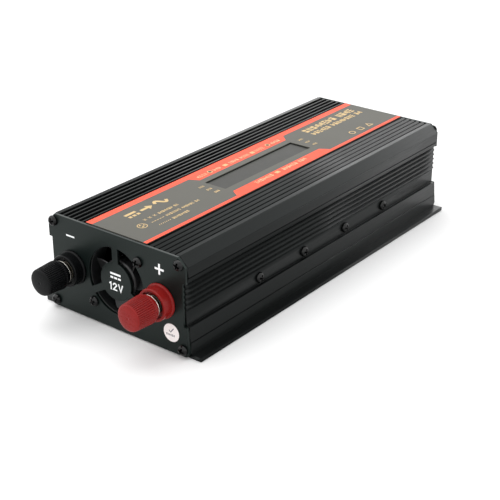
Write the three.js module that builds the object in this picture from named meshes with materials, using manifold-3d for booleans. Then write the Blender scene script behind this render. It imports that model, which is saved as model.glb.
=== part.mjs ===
// Power inverter: 12 V battery posts and a fan at the front, an AC outlet at the rear.
// Millimetres. +X is the positive post's side, +Y runs to the rear, +Z is up, and the
// origin is the centre of the case's underside.
import * as THREE from "three";
import { mergeVertices } from "three/addons/utils/BufferGeometryUtils.js";
import Module from "manifold-3d";

const wasm = await Module();
wasm.setup();

// ---- Case: two aluminium extrusions between two end panels ----
const caseLength = 240; // over both end panels
const bodyWidth = 95; // over the upper side walls
const footReach = 7; // foot flange beyond the upper side wall
const caseHeight = 55; // underside to the tops of the cooling ribs
const coverHeight = 10.8; // seam to the rib tops
const coverChamfer = 5;
const coverThick = 3.8; // rib tops to the cover's inside
const floorThick = 2;
const wallThick = 4.3; // inside face to the upper outside face
const flangeThick = 2.2;
const lowerWallLean = 1.2; // the lower wall stands out this far at the flange
const lowerWallHeight = 17.2;
const lowerGrooveHeight = 8.6; // a fine groove along the lower wall
const lowerGrooveDepth = 0.6;
const recessDepth = 1.8; // the flat that the side screws sit on
const recessHeight = 8.2;
const finPitch = 2.9;
const finDepth = 1.5;
const finInset = 1; // fin tips behind the upper outside face
const shoulderHeight = 1.9; // slope from the top fin out to the plain band
const bandHeight = 2.2; // plain band below the seam
const tongueThick = 1.3; // the cover's tongue inside the case wall
const tongueDepth = 2.3;

// ---- Cooling ribs on the cover, six grooves each side of the label ----
const labelWidth = 41.8;
const labelThick = 0.5;
const labelSink = 0.3; // the label's bed below the rib tops
const grooveCount = 6;
const groovePitch = 3.45;
const grooveWidth = 1.35;
const grooveDepth = 2;
const ribRun = 1.65; // width of a rib's outward slope
const ribDrop = 0.55; // fall of that slope

// ---- Screws and the ports that they run into ----
const portWall = 1.3;
const portMouth = 1.2; // the port's slit to the inside
const upperPortInset = 4.5; // from the side and the top
const upperPortDrop = 4.2;
const lowerPortInset = 3.1;
const lowerPortHeight = 4.3;
const screwRadius = 1.05;
const screwHeadRadius = 2.9;
const screwHeadHeight = 1.9;
const cornerScrewLength = 12;
const sideScrewRadius = 1.4;
const sideScrewCount = 4; // along each side
const sideScrewPitch = 40;
const sideScrewHeight = 21.2;

// ---- End panels ----
const panelThick = 1.5;
const panelInset = 0.5; // the panel's edge inside the case outline
const panelTopInset = 0.2;
const notchDepth = 2; // side notches that clear the fins
const panelCornerRadius = 3;

// ---- Fan ----
const fanSize = 40;
const fanDepth = 10;
const fanHoleInset = 4; // from the frame's sides
const fanRim = 1; // thinnest place between the bore and the sides
const fanHubRadius = 11;
const fanBladeCount = 7;
const fanBladeThick = 1;
const fanBladeChord = 8.6;
const fanBladePitch = 35; // degrees
const fanStrutWidth = 3;
const fanShaftRadius = 1.2;
const fanLift = 0.8; // fan centre above the middle of the case
const grilleInnerRadius = 10.6;
const grilleSpokeWidth = 4;

// ---- Battery posts ----
const postOffset = 30.4; // post axis from the middle
const postDrop = 0.8; // post axis below the fan's centre
const collarRadius = 9.6;
const collarRimRadius = 8.9;
const collarLength = 7;
const collarRecessRadius = 7.1;
const collarRecessDepth = 2.6;
const collarSpigotRadius = 5.6;
const collarSpigotOvershoot = 1; // past the panel's inside face
const studRadius = 2.7;
const studSeatRadius = 5.2;
const studSeatThick = 0.9;
const studInside = 10.5; // stud behind the panel's outside face
const knobRadius = 8;
const knobNeckRadius = 6.9;
const knobNeckLength = 2;
const knobLength = 15.1;
const knobReach = 24; // knob face from the panel's outside face
const knobBoreDepth = 12;
const insertRadius = 6.6;
const insertThick = 0.7;
const strapWidth = 12;
const strapThick = 1.5;
const strapFoot = 8; // strap's foot over the board
const nutAcross = 10;
const nutThick = 4;

// ---- Display ----
const windowWidth = 13.8;
const windowLength = 78.6;
const windowOffsetX = 0.6;
const windowOffsetY = -1.1;
const windowThick = 1;
const windowSink = 0.7; // window's face below the label's
const moduleBorder = 4;
const moduleThick = 5;

// ---- Inspection sticker, under the positive post ----
const stickerRadius = 5;
const stickerThick = 0.2;
const stickerOffset = 6.6; // outwards from the post's axis
const stickerHeight = 11.7;

// ---- Rear fittings ----
const outletWidth = 42;
const outletHeight = 36;
const outletFlange = 2.4;
const outletBorder = 3; // flange beyond the body
const outletDepth = 17;
const outletSlotDepth = 13;
const outletX = -20.5;
const controlsX = 24.5; // centre line of the switch and the USB socket
const switchWidth = 15;
const switchHeight = 21;
const switchFlange = 1.8;
const switchBodyInset = 0.9;
const switchDepth = 12;
const switchWellWidth = 11.4;
const switchWellHeight = 17.4;
const switchWellDepth = 6.5;
const switchDrop = 7; // switch centre below the middle of the case
const rockerTilt = 11; // degrees either way
const rockerPinRadius = 0.9;
const usbWidth = 14.6;
const usbHeight = 7.6;
const usbDepth = 14.5;
const usbWall = 0.9;
const usbProud = 0.6;
const usbRise = 13; // USB and lamp centres above the middle of the case
const lampRadius = 1.5;
const lampOffset = 12.5;
const ventWidth = 2;
const ventPitch = 4;
const ventHeight = 24; // beside the outlet
const shortVentHeight = 16; // beside the switch

// ---- Inside ----
const boardThick = 1.6;
const tabThick = 1.3;
const transistorWidth = 10;
const transistorBodyThick = 4.4;
const clampBarThick = 5;
const clampBarHeight = 6.2;
const coreWidth = 34;
const coreDepth = 14;
const coreHeight = 30;
const windingRadius = 12.5;
const windingShare = 0.7; // of the core's height
const transformerPitch = 50;
const capacitorRadius = 8;
const capacitorHeight = 30;
const capacitorSetback = 42; // from the front face
const capacitorToTransformer = 33;
const boardFrontClear = 15;
const boardRearClear = 6;
const tabAboveScrew = 2.8; // transistor tab above its screw

// ---- Clearances ----
const gap = 0.3; // between pieces that touch on the real object
const holeGap = 0.4; // a screw or shaft in its hole
const filmGap = 0.1; // under a sticker

// ---- Levels and places worked out from the sizes above ----
const halfWidth = bodyWidth / 2;
const seamHeight = caseHeight - coverHeight;
const bandBottom = seamHeight - bandHeight;
const finsTop = bandBottom - shoulderHeight;
const finCount = Math.floor((finsTop - lowerWallHeight - recessHeight) / finPitch + 0.05);
const insideX = halfWidth - wallThick;
const recessX = halfWidth - recessDepth;
const roofHeight = caseHeight - coverThick;
const bedHeight = caseHeight - labelSink;
const frontFace = -caseLength / 2;
const rearFace = caseLength / 2;
const shellLength = caseLength - 2 * (panelThick + gap);
const upperPort = [halfWidth - upperPortInset, caseHeight - upperPortDrop];
const lowerPort = [halfWidth - lowerPortInset, lowerPortHeight];
const portRadius = screwRadius + gap;
const bossRadius = portRadius + portWall;
const boardSlotTop = lowerPortHeight + bossRadius + boardThick + 2 * gap;
const boardSlotX = lowerPort[0] + portRadius;
const boardTop = boardSlotTop - gap;
const fanCentre = caseHeight / 2 + fanLift;
const fanBoreRadius = fanSize / 2 - fanRim;
const fanHoleOffset = fanSize / 2 - fanHoleInset;
const fanFront = frontFace + panelThick + gap;
const postCentre = fanCentre - postDrop;
const controlsCentre = caseHeight / 2;
const radians = Math.PI / 180;

// ---- Geometry helpers ----

// Points of an arc, angles in radians, both ends included.
function arc(x, y, radius, from, to, steps) {
  return Array.from({ length: steps + 1 }, (_, i) => {
    const angle = from + ((to - from) * i) / steps;
    return [x + radius * Math.cos(angle), y + radius * Math.sin(angle)];
  });
}

function circle(x, y, radius, steps = 24) {
  return arc(x, y, radius, 0, 2 * Math.PI, steps).slice(0, -1);
}

// A rectangle with round corners, going round from the lower right.
function roundedRectangle(x, y, width, height, radius, steps = 3) {
  const right = x + width / 2 - radius;
  const top = y + height / 2 - radius;
  const left = x - width / 2 + radius;
  const bottom = y - height / 2 + radius;
  return [
    ...arc(right, bottom, radius, -Math.PI / 2, 0, steps),
    ...arc(right, top, radius, 0, Math.PI / 2, steps),
    ...arc(left, top, radius, Math.PI / 2, Math.PI, steps),
    ...arc(left, bottom, radius, Math.PI, 1.5 * Math.PI, steps),
  ];
}

function rectangle(x, y, width, height) {
  const dx = width / 2;
  const dy = height / 2;
  return [
    [x + dx, y - dy],
    [x + dx, y + dy],
    [x - dx, y + dy],
    [x - dx, y - dy],
  ];
}

// A right-hand outline completed with its mirror image.
function mirrored(half) {
  return [...half, ...half.map(([x, z]) => [-x, z]).reverse()];
}

function vectors(points) {
  return points.map(([x, y]) => new THREE.Vector2(x, y));
}

function shapeOf(outline, holes = []) {
  const shape = new THREE.Shape(vectors(outline));
  shape.holes = holes.map((hole) => new THREE.Path(vectors(hole)));
  return shape;
}

function extrude(shape, depth) {
  return new THREE.ExtrudeGeometry(shape, { depth, bevelEnabled: false });
}

// An outline in X and Z, from one Y to the other.
function extrudeY(outline, yFrom, yTo, holes) {
  return extrude(shapeOf(outline, holes), yTo - yFrom)
    .rotateX(Math.PI / 2)
    .translate(0, yTo, 0);
}

// An outline in Y and Z, from one X to the other.
function extrudeX(outline, xFrom, xTo, holes) {
  const turn = new THREE.Matrix4().makeBasis(
    new THREE.Vector3(0, 1, 0),
    new THREE.Vector3(0, 0, 1),
    new THREE.Vector3(1, 0, 0),
  );
  return extrude(shapeOf(outline, holes), xTo - xFrom).applyMatrix4(turn).translate(xFrom, 0, 0);
}

// An outline in X and Y, from one Z to the other.
function extrudeZ(outline, zFrom, zTo, holes) {
  return extrude(shapeOf(outline, holes), zTo - zFrom).translate(0, 0, zFrom);
}

// A profile of [radius, y] turned about the Y axis, with its faces outwards.
function turned(profile, segments = 24) {
  const points = vectors(profile);
  if (THREE.ShapeUtils.isClockWise(points)) points.reverse();
  return new THREE.LatheGeometry(points, segments);
}

// A closed geometry as a solid that can be joined and cut.
function solidOf(geometry) {
  const plain = geometry.clone();
  plain.deleteAttribute("normal");
  plain.deleteAttribute("uv");
  const merged = mergeVertices(plain, 1e-4);
  const mesh = new wasm.Mesh({
    numProp: 3,
    vertProperties: merged.attributes.position.array,
    triVerts: new Uint32Array(merged.index.array),
  });
  return new wasm.Manifold(mesh);
}

function geometryOf(solid) {
  const mesh = solid.getMesh();
  const geometry = new THREE.BufferGeometry();
  geometry.setAttribute("position", new THREE.BufferAttribute(mesh.vertProperties, 3));
  geometry.setIndex(new THREE.BufferAttribute(mesh.triVerts, 1));
  geometry.computeVertexNormals();
  return geometry;
}

function joined(first, ...others) {
  return geometryOf(others.reduce((sum, other) => sum.add(solidOf(other)), solidOf(first)));
}

function cut(base, ...tools) {
  return geometryOf(tools.reduce((rest, tool) => rest.subtract(solidOf(tool)), solidOf(base)));
}

// ---- The assembly ----
const inverter = new THREE.Group();
inverter.name = "power_inverter";

const anodised = { color: 0x2b3030, roughness: 0.45, metalness: 0.8 };
const blackPlastic = { color: 0x131516, roughness: 0.4, metalness: 0 };
const redPlastic = { color: 0x8e2a2c, roughness: 0.35, metalness: 0 };
const blackSteel = { color: 0x17191a, roughness: 0.35, metalness: 0.7 };
const brass = { color: 0xc9a24a, roughness: 0.3, metalness: 1 };
const nickel = { color: 0xb9bcbd, roughness: 0.3, metalness: 1 };
const copper = { color: 0xb87333, roughness: 0.35, metalness: 1 };

function addPart(name, geometry, look) {
  const mesh = new THREE.Mesh(geometry, new THREE.MeshStandardMaterial(look));
  mesh.name = name;
  inverter.add(mesh);
  return mesh;
}

// The half outline of a C-shaped screw port, anticlockwise: round the boss from one wall
// to the mouth, round the bore, and on round the boss to the other wall.
function screwPort([x, z], from, mouth, to) {
  const boreTurn = Math.asin(portMouth / 2 / portRadius);
  const bossTurn = Math.asin(portMouth / 2 / bossRadius);
  return [
    ...arc(x, z, bossRadius, from, mouth - bossTurn, 3),
    ...arc(x, z, portRadius, mouth - boreTurn, mouth + boreTurn - 2 * Math.PI, 10),
    ...arc(x, z, bossRadius, mouth + bossTurn, to, 3),
  ];
}

// The lower extrusion: floor, foot flanges, finned walls, screw ports and board slots.
function bottomCaseSection() {
  const flangeX = halfWidth + lowerWallLean;
  const grooveX = halfWidth + lowerWallLean / 2;
  const finTipX = halfWidth - finInset;
  const finRootX = finTipX - finDepth;
  const fins = Array.from({ length: finCount }, (_, i) => {
    const base = finsTop - (finCount - i) * finPitch;
    return [
      [finRootX, base + 0.2 * finPitch],
      [finTipX, base + 0.4 * finPitch],
      [finTipX, base + 0.65 * finPitch],
      [finRootX, base + finPitch],
    ];
  }).flat();
  const lipX = insideX + tongueThick + 2 * gap;
  const stepHeight = seamHeight - tongueDepth - gap;
  const slotAngle = Math.acos(portRadius / bossRadius);
  const floorAngle = Math.PI + Math.asin((lowerPortHeight - floorThick) / bossRadius);
  return mirrored([
    [halfWidth + footReach, 0],
    [halfWidth + footReach, flangeThick],
    [flangeX, flangeThick],
    [grooveX, lowerGrooveHeight - lowerGrooveDepth / 2],
    [grooveX - lowerGrooveDepth, lowerGrooveHeight],
    [grooveX, lowerGrooveHeight + lowerGrooveDepth / 2],
    [halfWidth, lowerWallHeight],
    [recessX, lowerWallHeight],
    [recessX, finsTop - finCount * finPitch],
    ...fins,
    [recessX, finsTop + lowerGrooveDepth / 2],
    [halfWidth, bandBottom],
    [halfWidth, seamHeight - gap / 2],
    [lipX, seamHeight - gap / 2],
    [lipX, stepHeight],
    [insideX, stepHeight],
    [insideX, boardSlotTop],
    [boardSlotX, boardSlotTop],
    ...screwPort(lowerPort, slotAngle, 0.75 * Math.PI, floorAngle),
  ]);
}

// The upper extrusion: ribbed top, chamfered edges, tongues and screw ports.
function topCoverSection() {
  const [portX, portZ] = upperPort;
  const tongueX = insideX + gap;
  const bedX = labelWidth / 2 + gap;
  const grooves = Array.from({ length: grooveCount }, (_, i) => {
    const middle = bedX + grooveWidth / 2 + (grooveCount - 1 - i) * groovePitch;
    const inner = middle - 0.5 * grooveWidth;
    const slope = [
      [inner, caseHeight - ribDrop],
      [inner - ribRun, caseHeight],
    ];
    return [
      [middle + 0.5 * grooveWidth, caseHeight],
      [middle + 0.45 * grooveWidth, caseHeight - grooveDepth],
      [middle - 0.45 * grooveWidth, caseHeight - grooveDepth],
      ...(i === grooveCount - 1 ? [[inner, bedHeight]] : slope),
    ];
  }).flat();
  const roofAngle = Math.PI - Math.asin((roofHeight - portZ) / bossRadius);
  const wallAngle = 2 * Math.PI - Math.acos((tongueX - portX) / bossRadius);
  return mirrored([
    ...screwPort(upperPort, roofAngle, 1.25 * Math.PI, wallAngle),
    [tongueX, seamHeight - tongueDepth],
    [tongueX + tongueThick, seamHeight - tongueDepth],
    [tongueX + tongueThick, seamHeight + gap / 2],
    [halfWidth, seamHeight + gap / 2],
    [halfWidth, caseHeight - coverChamfer],
    [halfWidth - coverChamfer, caseHeight],
    ...grooves,
  ]);
}

const sideScrewPlaces = Array.from(
  { length: sideScrewCount },
  (_, i) => (i - (sideScrewCount - 1) / 2) * sideScrewPitch,
);

// A shaft-sized cutter through both side walls, or through a bar, at each side screw.
function sideScrewHoles(xFrom, xTo) {
  const radius = sideScrewRadius + holeGap;
  return sideScrewPlaces.map((y) => extrudeX(circle(y, sideScrewHeight, radius, 12), xFrom, xTo));
}

// The smoked window's opening in the cover and the label, with its clearance.
function windowOpening(zFrom, zTo) {
  const width = windowWidth + 2 * gap;
  const length = windowLength + 2 * gap;
  return extrudeZ(rectangle(windowOffsetX, windowOffsetY, width, length), zFrom, zTo);
}

function addShells() {
  const half = shellLength / 2;
  addPart(
    "bottom_case",
    cut(
      extrudeY(bottomCaseSection(), -half, half),
      ...sideScrewHoles(insideX - 1, halfWidth + 1),
      ...sideScrewHoles(-halfWidth - 1, 1 - insideX),
    ),
    anodised,
  );
  addPart(
    "top_cover",
    cut(extrudeY(topCoverSection(), -half, half), windowOpening(roofHeight - 1, caseHeight + 1)),
    anodised,
  );
}

// The end panels' common outline: the case outline drawn in a little, with side notches.
function panelOutline() {
  const footX = halfWidth + lowerWallLean - panelInset;
  const sideX = halfWidth - panelInset;
  const notchX = sideX - notchDepth;
  const top = caseHeight - panelTopInset;
  const cornerX = sideX - coverChamfer + panelTopInset;
  const roundX = footX - panelCornerRadius;
  const roundZ = panelInset + panelCornerRadius;
  return mirrored([
    ...arc(roundX, roundZ, panelCornerRadius, -Math.PI / 2, 0, 4),
    [sideX, lowerWallHeight],
    [notchX, lowerWallHeight],
    [notchX, finsTop + shoulderHeight / 2],
    [sideX, finsTop + shoulderHeight / 2],
    [sideX, top - coverChamfer + panelTopInset],
    [cornerX, top],
  ]);
}

const cornerPlaces = [
  [-upperPort[0], upperPort[1]],
  upperPort,
  [-lowerPort[0], lowerPort[1]],
  lowerPort,
];

function cornerHoles() {
  return cornerPlaces.map(([x, z]) => circle(x, z, screwRadius + holeGap, 12));
}

// One of the three curved openings between the grille's spokes.
function grilleOpening(index) {
  const from = Math.PI / 2 + (index * 2 * Math.PI) / 3;
  const to = from + (2 * Math.PI) / 3;
  const outer = fanBoreRadius;
  const outerTurn = Math.asin(grilleSpokeWidth / 2 / outer);
  const innerTurn = Math.asin(grilleSpokeWidth / 2 / grilleInnerRadius);
  return [
    ...arc(0, fanCentre, outer, from + outerTurn, to - outerTurn, 14),
    ...arc(0, fanCentre, grilleInnerRadius, to - innerTurn, from + innerTurn, 10),
  ];
}

const fanScrewPlaces = [
  [-fanHoleOffset, fanCentre - fanHoleOffset],
  [fanHoleOffset, fanCentre + fanHoleOffset],
];

function addFrontPanel() {
  const holes = [
    ...cornerHoles(),
    ...fanScrewPlaces.map(([x, z]) => circle(x, z, sideScrewRadius + holeGap, 12)),
    ...[0, 1, 2].map(grilleOpening),
    circle(-postOffset, postCentre, collarSpigotRadius + gap),
    circle(postOffset, postCentre, collarSpigotRadius + gap),
  ];
  const panel = extrudeY(panelOutline(), frontFace, frontFace + panelThick, holes);
  addPart("front_panel", panel, anodised);
}

function addRearPanel() {
  const outletBody = [outletWidth - 2 * outletBorder, outletHeight - 2 * outletBorder];
  const switchCentre = controlsCentre - switchDrop;
  const usbCentre = controlsCentre + usbRise;
  const ventsX = (outletX + outletWidth / 2 + controlsX - switchWidth / 2) / 2;
  const shortVentsX = controlsX + lampOffset;
  const vent = (x, z, height) =>
    roundedRectangle(x, z, ventWidth, height, ventWidth / 2 - 0.05, 2);
  const holes = [
    ...cornerHoles(),
    rectangle(outletX, controlsCentre, outletBody[0] + 2 * gap, outletBody[1] + 2 * gap),
    rectangle(
      controlsX,
      switchCentre,
      switchWidth - 2 * switchBodyInset + 2 * gap,
      switchHeight - 2 * switchBodyInset + 2 * gap,
    ),
    rectangle(controlsX, usbCentre, usbWidth + 2 * gap, usbHeight + 2 * gap),
    circle(controlsX + lampOffset, usbCentre, lampRadius + gap, 12),
    ...[-1, 0, 1].map((i) => vent(ventsX + i * ventPitch, controlsCentre, ventHeight)),
    ...[0, 1].map((i) => vent(shortVentsX + i * ventPitch, switchCentre, shortVentHeight)),
  ];
  const panel = extrudeY(panelOutline(), rearFace - panelThick, rearFace, holes);
  addPart("rear_panel", panel, anodised);
}

// A pan-head screw on the Y axis: its seat at y = 0, its head towards -Y.
function panHeadScrew(radius, length) {
  return turned(
    [
      [0, -screwHeadHeight],
      [0.6 * screwHeadRadius, -screwHeadHeight],
      [screwHeadRadius, -0.5 * screwHeadHeight],
      [screwHeadRadius, 0],
      [radius, 0],
      [radius, length],
      [0, length],
    ],
    12,
  );
}

function addScrews() {
  cornerPlaces.forEach(([x, z], i) => {
    const length = panelThick + cornerScrewLength;
    const front = addPart(`front_corner_screw_${i + 1}`, panHeadScrew(screwRadius, length), blackSteel);
    front.position.set(x, frontFace - gap, z);
    const rear = addPart(`rear_corner_screw_${i + 1}`, panHeadScrew(screwRadius, length), blackSteel);
    rear.position.set(x, rearFace + gap, z);
    rear.rotation.z = Math.PI;
  });
  fanScrewPlaces.forEach(([x, z], i) => {
    const length = panelThick + fanDepth;
    const screw = addPart(`fan_screw_${i + 1}`, panHeadScrew(sideScrewRadius, length), blackSteel);
    screw.position.set(x, frontFace - gap, z);
  });
  const through = recessX - insideX + 2 * gap + tabThick + clampBarThick;
  for (const [side, sign] of [["left", -1], ["right", 1]]) {
    sideScrewPlaces.forEach((y, i) => {
      const screw = addPart(
        `side_screw_${side}_${i + 1}`,
        panHeadScrew(sideScrewRadius, through),
        blackSteel,
      );
      screw.position.set(sign * (recessX + gap), y, sideScrewHeight);
      screw.rotation.z = (sign * Math.PI) / 2;
    });
  }
}

function addLabelAndDisplay() {
  const labelBase = bedHeight + filmGap;
  const labelTop = labelBase + labelThick;
  const sheet = extrudeZ(rectangle(0, 0, labelWidth, shellLength), labelBase, labelTop);
  addPart("label_panel", cut(sheet, windowOpening(labelBase - 1, labelTop + 1)), {
    color: 0x636566,
    roughness: 0.55,
    metalness: 0,
  });

  const windowTop = labelTop - windowSink;
  const windowBase = windowTop - windowThick;
  const place = [windowOffsetX, windowOffsetY];
  addPart(
    "display_window",
    extrudeZ(rectangle(...place, windowWidth, windowLength), windowBase, windowTop),
    { color: 0x55585a, roughness: 0.1, metalness: 0 },
  );

  // The module hangs under the roof, and its raised middle carries the window.
  const shelf = roofHeight - gap;
  const width = windowWidth + 2 * moduleBorder;
  const length = windowLength + 2 * moduleBorder;
  addPart(
    "display_module",
    joined(
      extrudeZ(rectangle(...place, width, length), shelf - moduleThick, shelf),
      extrudeZ(rectangle(...place, windowWidth, windowLength), shelf - 1, windowBase - filmGap),
    ),
    { color: 0x1d2a22, roughness: 0.5, metalness: 0 },
  );
}

function addSticker() {
  const disc = turned(
    [
      [0, -stickerThick],
      [stickerRadius, -stickerThick],
      [stickerRadius, 0],
      [0, 0],
    ],
    32,
  );
  const paper = { color: 0xf2e9e6, roughness: 0.6, metalness: 0 };
  const sticker = addPart("quality_sticker", disc, paper);
  sticker.position.set(postOffset + stickerOffset, frontFace - filmGap, stickerHeight);
}

function addFan() {
  const rear = fanFront + fanDepth;
  const holes = [[-1, -1], [-1, 1], [1, -1], [1, 1]].map(([a, b]) =>
    circle(a * fanHoleOffset, fanCentre + b * fanHoleOffset, sideScrewRadius + holeGap, 12),
  );
  const outline = roundedRectangle(0, fanCentre, fanSize, fanSize, fanHoleInset);
  const ring = extrudeY(outline, fanFront, rear, [circle(0, fanCentre, fanBoreRadius, 36), ...holes]);
  const plateFront = rear - 1.8;
  const plate = extrudeY(circle(0, fanCentre, fanHubRadius), plateFront, rear, [
    circle(0, fanCentre, fanShaftRadius + holeGap, 12),
  ]);
  const struts = [0, 1, 2].map((i) =>
    new THREE.BoxGeometry(fanBoreRadius - fanHubRadius + 2, rear - plateFront, fanStrutWidth)
      .translate((fanBoreRadius + fanHubRadius) / 2, 0, 0)
      .rotateY(((i + 0.25) * 2 * Math.PI) / 3)
      .translate(0, (plateFront + rear) / 2, fanCentre),
  );
  addPart("fan_frame", joined(ring, plate, ...struts), blackPlastic);

  const rotorFront = fanFront + 0.8;
  const rotorRear = plateFront - 2 * gap;
  const hub = turned([
    [0, rotorFront],
    [fanHubRadius - 0.8, rotorFront],
    [fanHubRadius, rotorFront + 0.8],
    [fanHubRadius, rotorRear],
    [fanShaftRadius, rotorRear],
    [fanShaftRadius, rear - gap],
    [0, rear - gap],
  ]);
  const bladeTip = fanBoreRadius - 1;
  const bladeRoot = fanHubRadius - 1;
  const blades = Array.from({ length: fanBladeCount }, (_, i) =>
    new THREE.BoxGeometry(bladeTip - bladeRoot, fanBladeThick, fanBladeChord)
      .rotateX(fanBladePitch * radians)
      .translate((bladeTip + bladeRoot) / 2, (rotorFront + rotorRear) / 2, 0)
      .rotateY((i * 2 * Math.PI) / fanBladeCount),
  );
  const rotor = addPart("fan_rotor", joined(hub, ...blades), blackPlastic);
  rotor.position.z = fanCentre;
}

// One battery post, on the Y axis at its place: collar, stud, insert, knob, nut and strap.
function addPost(name, x, plastic) {
  const onPost = (part, geometry, look) => {
    addPart(`${name}_${part}`, geometry, look).position.set(x, 0, postCentre);
  };
  const bore = studRadius + holeGap;
  const spigotEnd = frontFace + panelThick + collarSpigotOvershoot;
  const collarBack = frontFace - gap;
  const rim = frontFace - collarLength;
  const recessFloor = rim + collarRecessDepth;
  onPost(
    "post_collar",
    turned([
      [bore, spigotEnd],
      [collarSpigotRadius, spigotEnd],
      [collarSpigotRadius, collarBack],
      [collarRadius, collarBack],
      [collarRimRadius, rim + 0.6],
      [collarRimRadius - 0.6, rim],
      [collarRecessRadius, rim],
      [collarRecessRadius, recessFloor],
      [bore, recessFloor],
      [bore, spigotEnd],
    ]),
    plastic,
  );

  const knobFace = frontFace - knobReach;
  const knobBack = knobFace + knobLength;
  const boreEnd = knobBack - knobBoreDepth;
  const seatBack = recessFloor - gap;
  const stud = [
    [0, boreEnd + 3],
    [studRadius, boreEnd + 3],
    [studRadius, seatBack - studSeatThick],
    [studSeatRadius, seatBack - studSeatThick],
    [studSeatRadius, seatBack],
    [studRadius, seatBack],
    [studRadius, frontFace + studInside],
    [0, frontFace + studInside],
  ];
  onPost("post_stud", turned(stud, 20), brass);

  onPost(
    "post_knob",
    turned([
      [0, knobFace],
      [knobRadius - 1.6, knobFace + 0.4],
      [knobRadius - 0.3, knobFace + 1.6],
      [knobRadius, knobBack - knobNeckLength - 0.8],
      [knobNeckRadius, knobBack - knobNeckLength],
      [knobNeckRadius, knobBack],
      [bore, knobBack],
      [bore, boreEnd],
      [0, boreEnd],
    ]),
    plastic,
  );

  const insertFront = knobBack + gap;
  const insert = [
    [bore, insertFront],
    [insertRadius, insertFront],
    [insertRadius, insertFront + insertThick],
    [bore, insertFront + insertThick],
    [bore, insertFront],
  ];
  onPost("post_insert", turned(insert), nickel);

  const strapFront = spigotEnd + gap;
  const strapBack = strapFront + strapThick;
  const footTop = boardTop + gap + strapThick;
  const strap = extrudeX(
    [
      [strapFront, boardTop + gap],
      [strapBack + strapFoot + 4, boardTop + gap],
      [strapBack + strapFoot + 4, footTop],
      [strapBack, footTop],
      [strapBack, postCentre + strapWidth / 2],
      [strapFront, postCentre + strapWidth / 2],
    ],
    x - strapWidth / 2,
    x + strapWidth / 2,
  );
  const hole = extrudeY(circle(x, postCentre, bore, 20), strapFront - 1, strapBack + 1);
  addPart(`${name}_supply_strap`, cut(strap, hole), copper);

  const nutFront = strapBack + gap;
  const hexagon = circle(x, postCentre, nutAcross / 2 / Math.cos(30 * radians), 6);
  const nut = extrudeY(hexagon, nutFront, nutFront + nutThick, [circle(x, postCentre, bore, 20)]);
  addPart(`${name}_post_nut`, nut, nickel);
}

// The AC outlet: a flange on the panel, a body behind it and three blind contact slots.
function addOutlet() {
  const face = rearFace + gap + outletFlange;
  const flangeBack = rearFace + gap;
  const bodyWide = outletWidth - 2 * outletBorder;
  const bodyHigh = outletHeight - 2 * outletBorder;
  const z = controlsCentre;
  const flange = roundedRectangle(outletX, z, outletWidth, outletHeight, 3);
  const slot = (x, height, wide, high) =>
    extrudeY(rectangle(outletX + x, z + height, wide, high), face - outletSlotDepth, face + 1);
  addPart(
    "ac_outlet",
    cut(
      joined(
        extrudeY(flange, flangeBack, face),
        extrudeY(rectangle(outletX, z, bodyWide, bodyHigh), face - outletDepth, flangeBack + 1),
      ),
      slot(-9.5, -5, 5.4, 8.8),
      slot(9.5, -5, 5.4, 8.8),
      slot(0, 7.5, 6, 6.8),
    ),
    blackPlastic,
  );
}

// The power switch: a housing with a well, and a rocker that tips about its pins.
function addSwitch() {
  const z = controlsCentre - switchDrop;
  const flangeBack = rearFace + gap;
  const face = flangeBack + switchFlange;
  const pinY = flangeBack + switchFlange / 2;
  const bodyWide = switchWidth - 2 * switchBodyInset;
  const bodyHigh = switchHeight - 2 * switchBodyInset;
  const rockerWide = switchWellWidth - 2 * gap;
  const pinReach = rockerWide / 2 + 1;
  const flange = extrudeY(rectangle(controlsX, z, switchWidth, switchHeight), flangeBack, face);
  const body = extrudeY(rectangle(controlsX, z, bodyWide, bodyHigh), face - switchDepth, face - 1);
  const wellOutline = rectangle(controlsX, z, switchWellWidth, switchWellHeight);
  const well = extrudeY(wellOutline, pinY - switchWellDepth, face + 1);
  const pinHoleReach = pinReach + gap;
  const pinHole = extrudeX(
    circle(pinY, z, rockerPinRadius + gap, 12),
    controlsX - pinHoleReach,
    controlsX + pinHoleReach,
  );
  addPart("switch_housing", cut(joined(flange, body), well, pinHole), blackPlastic);

  const reach = switchWellHeight / 2 - 1;
  const side = [
    [-3, -reach],
    [-3, reach],
    [3.2, reach],
    [2, 0],
    [3.2, -reach],
  ];
  const rocker = joined(
    extrudeX(side, -rockerWide / 2, rockerWide / 2),
    extrudeX(circle(0, 0, rockerPinRadius, 12), -pinReach, pinReach),
  );
  const mesh = addPart("switch_rocker", rocker, blackPlastic);
  mesh.position.set(controlsX, pinY, z);
  mesh.rotation.x = -rockerTilt * radians;
}

function addUsbAndLamp() {
  const z = controlsCentre + usbRise;
  const face = rearFace + usbProud;
  const shell = extrudeY(rectangle(controlsX, z, usbWidth, usbHeight), face - usbDepth, face);
  const mouth = rectangle(controlsX, z, usbWidth - 2 * usbWall, usbHeight - 2 * usbWall);
  addPart("usb_socket", cut(shell, extrudeY(mouth, face - usbDepth + 1, face + 1)), nickel);

  const lamp = addPart(
    "power_lamp",
    turned(
      [
        [0, 1],
        [0.8 * lampRadius, 0.7],
        [lampRadius, 0],
        [lampRadius, -6],
        [0, -6],
      ],
      16,
    ),
    { color: 0x57d45c, roughness: 0.2, metalness: 0 },
  );
  lamp.position.set(controlsX + lampOffset, rearFace + 0.4, z);
}

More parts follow.
